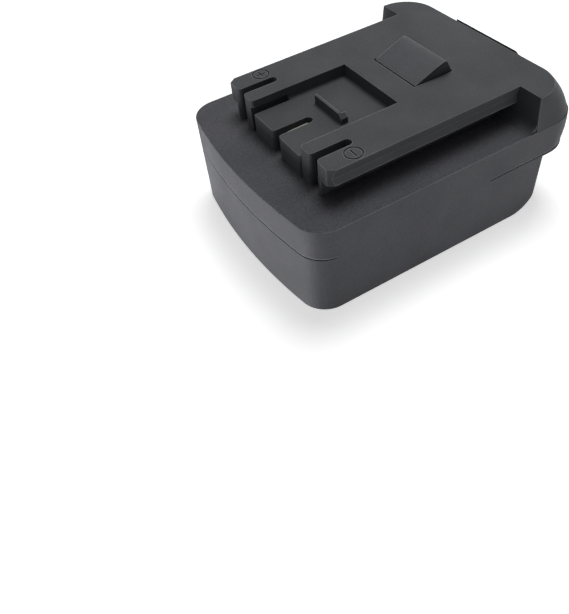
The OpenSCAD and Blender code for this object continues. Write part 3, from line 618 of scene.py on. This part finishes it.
class ADAPTER_OT_clips(bpy.types.Operator):
    """Makes the three forked clips under the contact slots"""

    bl_idname = "adapter.clips"
    bl_label = "Contact clips"

    def execute(self, context):
        s = context.scene.adapter_metal
        # painted shade: the clip plating is darkened partly for the shade in the contact slots
        plated = drawn_metal("clip_nickel_plate", s.clip_colour_and_shade, (80.0, 2400.0, 900.0), 0.42)
        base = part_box("clip_carrier")[1].z
        for name in ("positive_clip", "negative_clip", "signal_clip"):
            low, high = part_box(name)
            shells = clip_shells(low, high, base, (high.x - CLIP_TAIL * MM, high.x))
            piece(name + "_forked", shells, "case", [name], [plated])
        return {"FINISHED"}


class ADAPTER_OT_carriers(bpy.types.Operator):
    """Gives the two contact carriers a glass-filled plastic"""

    bl_idname = "adapter.carriers"
    bl_label = "Contact carriers"

    def execute(self, context):
        dress(["blade_carrier", "clip_carrier"], filled_plastic("carrier_filled_plastic", CARRIER_GREY, 0.5))
        return {"FINISHED"}


def solder_end(x, y, z0, z1, r):
    """A soldered wire end from z0 to z1: its radius is r times 0.55 + 0.25 sin(pi t), and it closes at both
    ends with the root of 1 - (2 t - 1)^6."""
    t = np.linspace(0, 1, 15)
    close = np.sqrt(np.clip(1 - (2 * t - 1) ** 6, 0.02, 1))
    swell = r * (0.55 + 0.25 * np.sin(math.pi * t)) * close
    line = np.stack([x + 0 * t, y + 0 * t, z0 + (z1 - z0) * t], axis=-1)
    return turned(line, swell, (1.0, 0.0, 0.0), (0.0, 1.0, 0.0), 24)


class ADAPTER_OT_leads(bpy.types.Operator):
    """Makes the two insulated leads between the blades and the clips, with soldered ends"""

    bl_idname = "adapter.leads"
    bl_label = "Leads"

    def execute(self, context):
        s = context.scene.adapter_wire
        tin = drawn_metal("lead_tinned_end", TINNED, (900.0, 900.0, 900.0), 0.34, 0.5)
        r = LEAD_RADIUS * MM
        for name, side, colour, slot in (("positive_lead", 1, s.positive_colour, "red_insulation"),
                                         ("negative_lead", -1, s.negative_colour, "black_insulation")):
            low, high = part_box(name)
            near_y, far_y = (low.y + r, high.y - r) if side > 0 else (high.y - r, low.y + r)
            tab_x, clip_x = high.x - r, low.x + r
            path = round_path([(tab_x, near_y, low.z + LEAD_BARE_LOW * MM),
                               (tab_x, near_y, LEAD_TURN_LOW * MM),
                               (clip_x, far_y, LEAD_TURN_HIGH * MM),
                               (clip_x, far_y, high.z - LEAD_BARE_HIGH * MM)], s.bend)
            across, up = wire_frame(path, (0.05, side, 0.31))
            shells = [closed_shell(swept(path, across, up, ring(0.98 * r, 28))),
                      solder_end(tab_x, near_y, low.z, low.z + SOLDER_LOW * MM, r),
                      solder_end(clip_x, far_y, high.z - SOLDER_HIGH * MM, high.z, r)]
            piece(name + "_soldered", shells, "case", [name],
                  [insulation(name + "_insulation", colour), tin], picks=[0, 1, 1])
        return {"FINISHED"}


def banded_lacquer(name, start, end):
    """Glossy lacquer with a resistor's colour bands between two places along Y, over a fine mottle."""
    material, _, add, to_shader = finish_tree(name)
    place = add("TexCoord").outputs["Object"]
    along = add("SeparateXYZ", {"Vector": place}).outputs["Y"]
    reach = add("MapRange", {"Value": along, "From Min": start, "From Max": end}).outputs["Result"]
    bands = add("ValToRGB", {"Fac": reach})
    stops = bands.color_ramp
    stops.interpolation = "CONSTANT"
    stops.elements[0].color = BANDS[0][1]
    stops.elements.remove(stops.elements[1])
    for share, colour in BANDS[1:]:
        stops.elements.new(share).color = colour
    mottle = add("TexNoise", {"Vector": place, "Scale": 1400.0, "Detail": 3.0}).outputs["Fac"]
    shade = add("MapRange", {"Value": mottle, "To Min": 0.86, "To Max": 1.1}).outputs["Result"]
    to_shader("Base Color", add("VectorMath", {0: bands.outputs["Color"], 1: shade},
                                operation="MULTIPLY").outputs["Vector"])
    gloss = add("MapRange", {"Value": mottle, "To Min": 0.26, "To Max": 0.42})
    to_shader("Roughness", gloss.outputs["Result"])
    bump = add("Bump", {"Strength": 0.2, "Distance": 0.00004, "Height": mottle})
    to_shader("Normal", bump.outputs["Normal"])
    return material


class ADAPTER_OT_resistor(bpy.types.Operator):
    """Makes the banded resistor between the signal clip and the negative clip"""

    bl_idname = "adapter.resistor"
    bl_label = "Signal resistor"

    def execute(self, context):
        low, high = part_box("signal_resistor")
        mid = (low + high) / 2
        half, body = (high.y - low.y) / 2, RESISTOR_HALF * MM
        # radius of the coat along Y, in mm: 1.02 with a bulge of 0.17 near each end, closed at the ends with
        # the root of 1 - t^14. The wire through it is 0.34 with a small chamfer
        t = np.linspace(-1, 1, 61)
        bulge = np.exp(-((np.abs(t) - 0.74) / 0.16) ** 2)
        close = np.sqrt(np.clip(1 - np.abs(t) ** 14, 0.09, 1))
        coat = np.stack([t * body, (1.02 + 0.17 * bulge) * MM * close], axis=-1)
        wire = np.array([[-half, 0.28], [-half + 0.06 * MM, 0.34], [half - 0.06 * MM, 0.34], [half, 0.28]])
        wire[:, 1] *= MM
        shells = []
        for profile in (coat, wire):
            path = np.array(mid) + profile[:, :1] * np.array([0.0, 1.0, 0.0])
            shells.append(turned(path, profile[:, 1], (1.0, 0.0, 0.0), (0.0, 0.0, 1.0), 32))
        lacquer = banded_lacquer("resistor_lacquer", mid.y - body, mid.y + body)
        tin = drawn_metal("resistor_wire", TINNED, (2000.0, 200.0, 2000.0), 0.32)
        piece("signal_resistor_banded", shells, "case", ["signal_resistor"], [lacquer, tin],
              picks=[0, 1])
        return {"FINISHED"}


class ADAPTER_OT_strips(bpy.types.Operator):
    """Makes the wavy strips in the side channels of the bay"""

    bl_idname = "adapter.strips"
    bl_label = "Wave strips"

    def execute(self, context):
        s = context.scene.adapter_case
        # painted light: the strips' colour is set lighter than their plastic, for light the side channels
        # don't get
        smooth = moulded_plastic("strip_plastic", s.strip_colour_and_light, 0.5 * s.grain, relief=0.12, speck=0.15,
                                 rough=0.38, edge_round=0.5 * s.edge_round)
        thick = STRIP_THICK * MM
        for name, side in (("wave_strip_left", 1), ("wave_strip_right", -1)):
            low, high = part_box(name)
            wall = high.y if side > 0 else -low.y
            # distance from the channel wall: half the thickness plus the rise times sin^2 of two bumps. The
            # section is drawn in by the cosine of the slope, so the strip is equally thick along Y
            u = np.linspace(0, 1, 145)
            y = wall - thick / 2 - STRIP_RISE * MM * np.sin(2 * math.pi * u) ** 2
            path = np.stack([low.x + (high.x - low.x) * u, side * y, (low.z + high.z) / 2 + 0 * u], axis=-1)
            across, up = wire_frame(path, (0.0, 1.0, 0.0))
            slim = np.cos(np.arctan(np.gradient(y, path[:, 0])))[:, None, None]
            section = rounded_bar(thick, high.z - low.z, STRIP_CORNER * MM)
            outline = section[None] * np.concatenate([slim, np.ones_like(slim)], axis=-1)
            piece(name + "_moulded", [closed_shell(swept(path, across, up, outline))], "case", [name],
                  [smooth])
        return {"FINISHED"}


def screw_rows(head_r, head_h, shank_r, length, pitch, threaded):
    """Rows of one screw, head down, seat at z = 0, shank up: a six-lobed socket, a domed head and a thread.
    A row is a circle of radius r(theta). In the socket r = R (1 + 0.13 cos 6 theta), on the dome r and z
    follow a quarter ellipse, and on the thread r = core - depth * |2 frac(z / pitch - theta / 2 pi) - 1|."""
    theta = np.linspace(0, 2 * math.pi, SCREW_SIDES, endpoint=False)
    lobes = 0.13 * np.cos(6 * theta)
    socket, mouth, floor = 0.46 * head_r, -head_h, -head_h + 0.55 * head_h
    brow, core, nick, fillet = 1.22 * socket, 0.98 * shank_r, 0.12 * MM, 0.15 * MM
    # radius, height and share of the lobes of each plain row
    rows = [(0.30 * socket, floor, 0.0), (0.9 * socket, floor - 0.04 * MM, 1.0), (socket, floor - nick, 1.0),
            (socket, mouth + 0.14 * MM, 1.0), (1.1 * socket, mouth + 0.02 * MM, 0.6)]
    t = np.linspace(0, math.pi / 2, 10)
    dome_r = brow + (head_r - brow) * np.sin(t)
    dome_z = mouth * (0.28 + 0.72 * np.cos(t))
    rows += [(r, z, 0.0) for r, z in zip(dome_r, dome_z)]
    rows += [(head_r, -nick, 0.0), (head_r - nick, 0.0, 0.0), (shank_r + fillet, 0.0, 0.0),
             (core, fillet, 0.0), (core, length - threaded, 0.0)]
    rows = np.array(rows)
    plain = rows[:, :1] * (1 + rows[:, 2:] * lobes[None])
    plain_z = np.broadcast_to(rows[:, 1:2], plain.shape)
    z = np.linspace(length - threaded + 0.2 * MM, length, max(12, int(5 * threaded / pitch)))
    turn = z[:, None] / pitch - theta[None] / (2 * math.pi)
    wave = np.abs(2 * (turn - np.floor(turn)) - 1)
    taper = np.clip((length - z) / (THREAD_POINT * MM), 0.35, 1)[:, None]
    cut = core * taper - THREAD_DEPTH * MM * wave * taper
    cut_z = np.broadcast_to(z[:, None], cut.shape)
    spin = np.broadcast_to(theta, (len(plain) + len(cut), SCREW_SIDES))
    return np.stack([np.vstack([plain, cut]), np.vstack([plain_z, cut_z]), spin], axis=-1)


def screw_shells(pairs, seat, rows, head_up):
    """Like screws at X and both Y and -Y of each pair, each turned a little further, seats at one height."""
    r, z, theta = rows[..., 0], rows[..., 1] * (-1 if head_up else 1), rows[..., 2]
    places = [(x, side * y) for x, y in pairs for side in (1, -1)]
    shells = []
    for k, (x, y) in enumerate(places):
        spin = theta + SCREW_TURN * k
        points = [x * MM + r * np.cos(spin), y * MM + r * np.sin(spin), seat * MM + z]
        shells.append(closed_shell(np.stack(points, axis=-1)))
    return shells


class ADAPTER_OT_screws(bpy.types.Operator):
    """Makes the blackened screws of the rim, ledge, deck and blade carrier"""

    bl_idname = "adapter.screws"
    bl_label = "Screws"

    def execute(self, context):
        s = context.scene.adapter_metal
        black = drawn_metal("screw_blackened_steel", s.screw_colour, (1500.0, 1500.0, 1500.0), 0.24, 0.4)
        for name, kind in SCREWS.items():
            head_r, head_h = kind["head"]
            rows = screw_rows(head_r * MM, head_h * MM, kind["shank"] * MM, kind["length"] * MM,
                              s.thread_pitch, kind["thread"] * MM)
            shells = screw_shells(kind["pairs"], kind["seat"], rows, kind["head_up"])
            piece(name + "_lobed", shells, "case", [name], [black])
        return {"FINISHED"}


class ADAPTER_OT_springs(bpy.types.Operator):
    """Makes the two coil springs under the latch, each as long as its node"""

    bl_idname = "adapter.springs"
    bl_label = "Latch springs"

    def execute(self, context):
        s = context.scene.adapter_metal
        steel = drawn_metal("spring_wire_steel", s.spring_colour, (700.0, 700.0, 700.0), 0.28, 0.3)
        wire = SPRING_WIRE * MM
        for name in ("latch_spring_left", "latch_spring_right"):
            low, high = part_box(name)
            mid = (low + high) / 2
            coil = (high.x - low.x) / 2 - wire
            # t counts the turns. 0.14 of the height rises evenly, and the rest between the closed ends
            t = np.linspace(0, SPRING_TURNS, int(36 * SPRING_TURNS))
            rise = np.clip((t - SPRING_CLOSED) / (SPRING_TURNS - 2 * SPRING_CLOSED), 0, 1)
            rise = rise * 0.86 + 0.14 * t / SPRING_TURNS
            z = low.z + wire + (high.z - low.z - 2 * wire) * rise
            turn = 2 * math.pi * t
            out = np.stack([np.cos(turn), np.sin(turn), 0 * t], axis=-1)
            path = np.stack([mid.x + coil * out[:, 0], mid.y + coil * out[:, 1], z], axis=-1)
            along = unit(np.gradient(path, axis=0))
            up = np.cross(along, out)
            made = piece(name + "_coil", [closed_shell(swept(path, out, up, ring(wire, 12)))], "case", [name],
                         [steel])
            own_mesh(made)
        return {"FINISHED"}


# stage


def soft_lamp(name, place, aim, size, power):
    """A square soft lamp at place, turned towards aim."""
    data = bpy.data.lights.new(name, "AREA")
    data.energy, data.size = power, size
    lamp = bpy.data.objects.new(name, data)
    lamp.location = place
    lamp.rotation_euler = (Vector(aim) - Vector(place)).to_track_quat("-Z", "Y").to_euler()
    bpy.context.scene.collection.objects.link(lamp)


def floor_material(colour, glow, fade):
    """Pale matte paper with a faint mottle, which fades to plain white between the two distances of fade from
    the middle. Seen from below it is clear, and it doesn't hold back lamp light."""
    material, shader, add, to_shader = finish_tree("floor_paper")
    place = add("TexCoord").outputs["Object"]
    fibre = add("TexNoise", {"Vector": place, "Scale": 900.0, "Detail": 4.0}).outputs["Fac"]
    dark, light = shades(colour, 0.985, 1.015)
    to_shader("Base Color", add("Mix", {"Factor": fibre, "A": dark, "B": light},
                                data_type="RGBA").outputs["Result"])
    to_shader("Roughness", add("MapRange", {"Value": fibre, "To Min": 0.85,
                                            "To Max": 0.95}).outputs["Result"])
    shader.inputs["Specular IOR Level"].default_value = 0.1
    away = add("VectorMath", {0: place}, operation="LENGTH").outputs["Value"]
    level = add("MapRange", {"Value": away, "From Min": fade[0], "From Max": fade[1],
                             "To Min": glow, "To Max": 1.0}).outputs["Result"]
    shown = add("Math", {0: seen_rays(add), 1: level}, operation="MULTIPLY").outputs[0]
    to_shader("Emission Strength", shown)
    shader.inputs["Emission Color"].default_value = WHITE
    back = add("NewGeometry").outputs["Backfacing"]
    shadow = add("LightPath").outputs["Is Shadow Ray"]
    clear = add("Math", {0: back, 1: shadow}, operation="MAXIMUM").outputs[0]
    mixed = add("MixShader", {0: clear, 1: shader.outputs[0], 2: add("BsdfTransparent").outputs[0]})
    out = material.node_tree.nodes["Material Output"]
    material.node_tree.links.new(mixed.outputs[0], out.inputs["Surface"])
    return material


def even_sky(strength):
    """A white world that is plain white where it is seen, and lights the object at the given strength."""
    world = bpy.data.worlds.new("even_sky")
    world.use_nodes = True
    tree = world.node_tree
    add = node_adder(tree)
    level = add("MapRange", {"Value": seen_rays(add), "To Min": strength, "To Max": 1.0})
    sky = tree.nodes["Background"]
    sky.inputs["Color"].default_value = WHITE
    tree.links.new(level.outputs["Result"], sky.inputs["Strength"])
    return world


def photo_camera(focal):
    """A camera at EYE that looks along AHEAD, with the picture's right along RIGHT made square to it."""
    data = bpy.data.cameras.new("photo_camera")
    data.lens = focal
    data.sensor_width = 36.0
    data.clip_start, data.clip_end = 0.005, 20.0
    camera = bpy.data.objects.new("photo_camera", data)
    ahead, right = Vector(AHEAD).normalized(), Vector(RIGHT)
    right = (right - ahead * right.dot(ahead)).normalized()
    facing = Matrix((right, right.cross(ahead), -ahead)).transposed().to_4x4()
    camera.matrix_world = Matrix.Translation(EYE) @ facing
    return camera


class ADAPTER_OT_stage(bpy.types.Operator):
    """Makes the floor, the soft lamps, the even sky and the camera"""

    bl_idname = "adapter.stage"
    bl_label = "Stage"

    def execute(self, context):
        scene = context.scene
        s = scene.adapter_stage
        scene.view_settings.view_transform = "Standard"
        quarters = ((-1, -1), (1, -1), (1, 1), (-1, 1))
        corners = [(x * FLOOR_REACH, y * FLOOR_REACH, FLOOR_Z) for x, y in quarters]
        mesh = bpy.data.meshes.new("floor")
        mesh.from_pydata(corners, [], [(0, 1, 2, 3)])
        mesh.materials.append(floor_material(s.floor_colour, s.floor_glow, FLOOR_FADE))
        floor = bpy.data.objects.new("floor", mesh)
        scene.collection.objects.link(floor)
        for name, (place, aim, size) in LAMPS.items():
            soft_lamp(name, place, aim, size, getattr(s, name))
        scene.world = even_sky(s.sky)
        camera = photo_camera(s.focal)
        scene.collection.objects.link(camera)
        scene.camera = camera
        return {"FINISHED"}


# add-on


OPERATORS = (ADAPTER_OT_case, ADAPTER_OT_deck, ADAPTER_OT_latch, ADAPTER_OT_blades, ADAPTER_OT_clips,
             ADAPTER_OT_carriers, ADAPTER_OT_leads, ADAPTER_OT_resistor, ADAPTER_OT_strips, ADAPTER_OT_screws,
             ADAPTER_OT_springs, ADAPTER_OT_stage)
SETTINGS = (("adapter_case", CaseSettings), ("adapter_metal", MetalSettings), ("adapter_wire", WireSettings),
            ("adapter_stage", StageSettings))


class ADAPTER_PT_panel(bpy.types.Panel):
    """Lists the adapter's pieces and their settings"""

    bl_idname = "ADAPTER_PT_panel"
    bl_label = "Tool battery adapter"
    bl_space_type = "VIEW_3D"
    bl_region_type = "UI"
    bl_category = "Adapter"

    def draw(self, context):
        for operator in OPERATORS:
            self.layout.operator(operator.bl_idname)
        for name, group in SETTINGS:
            box = self.layout.box()
            for key in group.__annotations__:
                box.prop(getattr(context.scene, name), key)


def register():
    """Adds the settings, the operators and the panel."""
    for name, group in SETTINGS:
        bpy.utils.register_class(group)
        setattr(bpy.types.Scene, name, bpy.props.PointerProperty(type=group))
    for cls in OPERATORS + (ADAPTER_PT_panel,):
        bpy.utils.register_class(cls)


def unregister():
    """Takes the panel, the operators and the settings away again."""
    for cls in reversed(OPERATORS + (ADAPTER_PT_panel,)):
        bpy.utils.unregister_class(cls)
    for name, group in reversed(SETTINGS):
        delattr(bpy.types.Scene, name)
        bpy.utils.unregister_class(group)


def main():
    register()
    bpy.ops.adapter.case()
    bpy.ops.adapter.deck()
    bpy.ops.adapter.latch()
    bpy.ops.adapter.blades()
    bpy.ops.adapter.clips()
    bpy.ops.adapter.carriers()
    bpy.ops.adapter.leads()
    bpy.ops.adapter.resistor()
    bpy.ops.adapter.strips()
    bpy.ops.adapter.screws()
    bpy.ops.adapter.springs()
    bpy.ops.adapter.stage()


if __name__ == "__main__":
    main()
